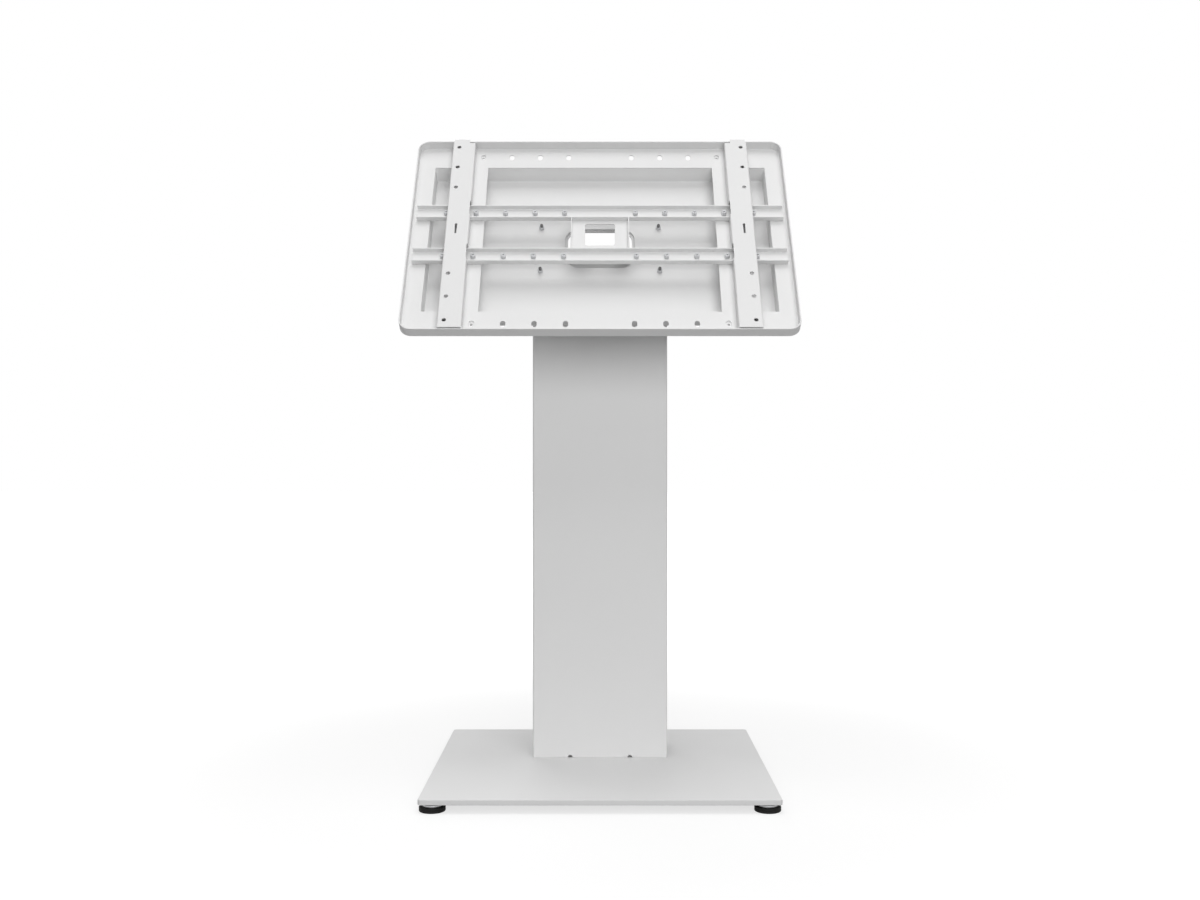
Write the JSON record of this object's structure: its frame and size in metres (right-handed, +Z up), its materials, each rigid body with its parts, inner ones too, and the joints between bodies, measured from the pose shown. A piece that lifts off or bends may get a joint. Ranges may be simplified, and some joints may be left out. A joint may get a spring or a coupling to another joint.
{
  "type": "kiosk floor stand",
  "caption": "Floor stand with a heavy base plate, a sheet metal column and a tilted tray whose two slotted arms slide on rails to hold a display.",
  "frame": {"origin": "on the floor, under the middle of the base plate", "axes": "+Z up, -Y towards the viewer, the way the tray faces, +X to the viewer's right"},
  "size_m": [0.637, 0.494, 1.0819],
  "materials": {
    "head_powder": "fine-textured powder coat",
    "column_powder": "fine-textured powder coat",
    "base_powder": "fine-textured powder coat",
    "zinc": "zinc plated",
    "black_zinc": "black oxide",
    "rubber": "matt moulded"
  },
  "bodies": {
    "stand": {"base_plate": "base_powder", "column_shell": "column_powder", "column_foot_plate": "column_powder", "base_bolts": "black_zinc", "column_top_plate": "column_powder", "column_rear_cover": "column_powder", "rear_cover_screws": "black_zinc", "head_cheek_left": "head_powder", "head_cheek_right": "head_powder", "head_web": "head_powder", "head_bracket_bolts": "zinc", "head_bracket_nuts": "zinc", "head_plate": "head_powder", "head_doubler": "head_powder", "head_studs": "zinc", "head_stud_nuts": "zinc", "rear_box": "head_powder", "tray_pan": "head_powder", "tray_bar_left": "head_powder", "tray_bar_right": "head_powder", "slot_nut_plates": "head_powder", "upper_rail": "head_powder", "lower_rail": "head_powder", "upper_rail_standoffs": "zinc", "lower_rail_standoffs": "zinc", "centre_bracket": "head_powder"},
    "left_arm": {"left_arm": "head_powder", "left_arm_hooks": "head_powder", "left_arm_lock_screw": "black_zinc"},
    "right_arm": {"right_arm": "head_powder", "right_arm_hooks": "head_powder", "right_arm_lock_screw": "black_zinc"},
    "foot_front_left": {"foot_front_left_pad": "rubber", "foot_front_left_stud": "zinc"},
    "foot_front_right": {"foot_front_right_pad": "rubber", "foot_front_right_stud": "zinc"},
    "foot_back_left": {"foot_back_left_pad": "rubber", "foot_back_left_stud": "zinc"},
    "foot_back_right": {"foot_back_right_pad": "rubber", "foot_back_right_stud": "zinc"}
  },
  "joints": [
    {"name": "left_arm_slide", "type": "slide", "parent": "stand", "child": "left_arm", "axis": [1, 0, 0], "range_m": [-0.04, 0.1465]},
    {"name": "right_arm_slide", "type": "slide", "parent": "stand", "child": "right_arm", "axis": [-1, 0, 0], "range_m": [-0.04, 0.1465]},
    {"name": "foot_front_left_screw", "type": "slide", "parent": "stand", "child": "foot_front_left", "axis": [0, 0, -1], "range_m": [0, 0.004]},
    {"name": "foot_front_right_screw", "type": "slide", "parent": "stand", "child": "foot_front_right", "axis": [0, 0, -1], "range_m": [0, 0.004]},
    {"name": "foot_back_left_screw", "type": "slide", "parent": "stand", "child": "foot_back_left", "axis": [0, 0, -1], "range_m": [0, 0.004]},
    {"name": "foot_back_right_screw", "type": "slide", "parent": "stand", "child": "foot_back_right", "axis": [0, 0, -1], "range_m": [0, 0.004]}
  ]
}
